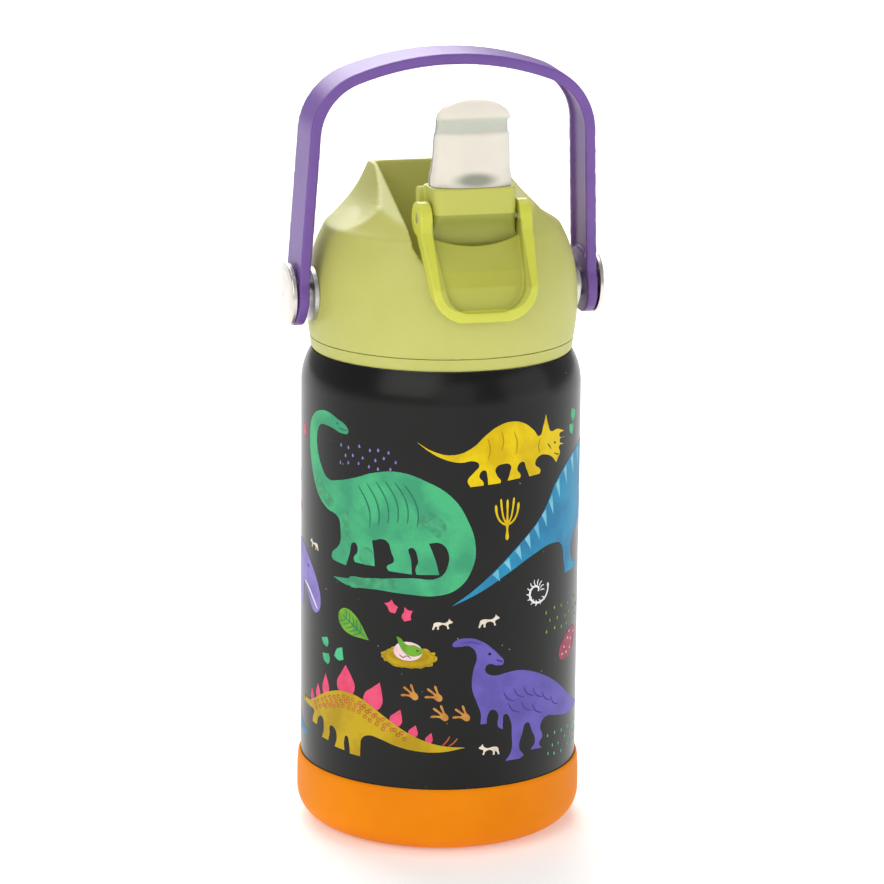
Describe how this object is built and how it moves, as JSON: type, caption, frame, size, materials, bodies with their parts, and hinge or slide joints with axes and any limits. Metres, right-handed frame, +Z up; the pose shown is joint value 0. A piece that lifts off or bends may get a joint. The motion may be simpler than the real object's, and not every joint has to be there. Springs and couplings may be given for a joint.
{
  "type": "kids water bottle",
  "caption": "Insulated steel kids' bottle with a screw-on lid, flip-up spout with swinging guard, straw, loop handle and silicone boot.",
  "frame": {"origin": "middle of the boot's underside, on the surface that the bottle stands on", "axes": "+Z up the bottle's axis, front of the bottle (spout and guard) towards -Y, handle pivots on +X and -X"},
  "size_m": [0.085, 0.0773, 0.2055],
  "materials": {
    "boot_silicone": "orange moulded silicone, matt",
    "black_powder_coat": "black powder coat with printed dinosaur pictures under a soft gloss",
    "plain_steel": "turned or drawn stainless steel",
    "seal_glass": "fused sealing glass",
    "getter_metal": "pressed metal powder",
    "clear_silicone": "milky translucent silicone",
    "lid_plastic": "lime green moulded polypropylene, satin",
    "carrier_plastic": "lime green moulded polypropylene, satin",
    "guard_plastic": "brighter lime moulded polypropylene, semi-gloss",
    "straw_plastic": "translucent polypropylene",
    "brass": "knurled brass",
    "polished_steel": "polished stainless steel",
    "handle_plastic": "purple moulded polypropylene, semi-gloss"
  },
  "bodies": {
    "bottle": {"base_boot": "boot_silicone", "outer_wall": "black_powder_coat", "inner_wall": "plain_steel", "base_plate": "plain_steel", "vacuum_seal": "seal_glass", "getter": "getter_metal"},
    "lid_seal": {"lid_gasket": "clear_silicone"},
    "lid": {"lid_base": "lid_plastic", "lid_shell": "lid_plastic", "vent_valve": "clear_silicone", "straw": "straw_plastic", "spout_tube": "clear_silicone", "spout_pin": "plain_steel", "insert_left": "brass", "insert_right": "brass", "bush_left": "plain_steel", "bush_right": "plain_steel", "screw_left": "polished_steel", "screw_right": "polished_steel"},
    "spout": {"spout_carrier": "carrier_plastic", "mouthpiece": "clear_silicone"},
    "guard": {"guard": "guard_plastic"},
    "handle": {"handle": "handle_plastic"}
  },
  "joints": [
    {"name": "lid_lift", "type": "slide", "parent": "bottle", "child": "lid_seal", "axis": [0, 0, 1], "range_m": [0, 0.135]},
    {"name": "lid_turn", "type": "hinge", "parent": "lid_seal", "child": "lid", "pos_m": [0, 0, 0.127], "axis": [0, 0, 1], "range_deg": [0, 360]},
    {"name": "spout_fold", "type": "hinge", "parent": "lid", "child": "spout", "pos_m": [0, -0.026, 0.1655], "axis": [-1, 0, 0], "range_deg": [0, 120], "deforming": ["spout_tube"]},
    {"name": "guard_swing", "type": "hinge", "parent": "lid", "child": "guard", "pos_m": [0, -0.026, 0.1655], "axis": [-1, 0, 0], "range_deg": [0, 221]},
    {"name": "handle_swing", "type": "hinge", "parent": "lid", "child": "handle", "pos_m": [0, 0, 0.1425], "axis": [1, 0, 0], "range_deg": [-114.5, 105.5]}
  ],
  "couplings": [
    {"joint": "guard_swing", "follows": "spout_fold", "ratio": 1.8333}
  ]
}
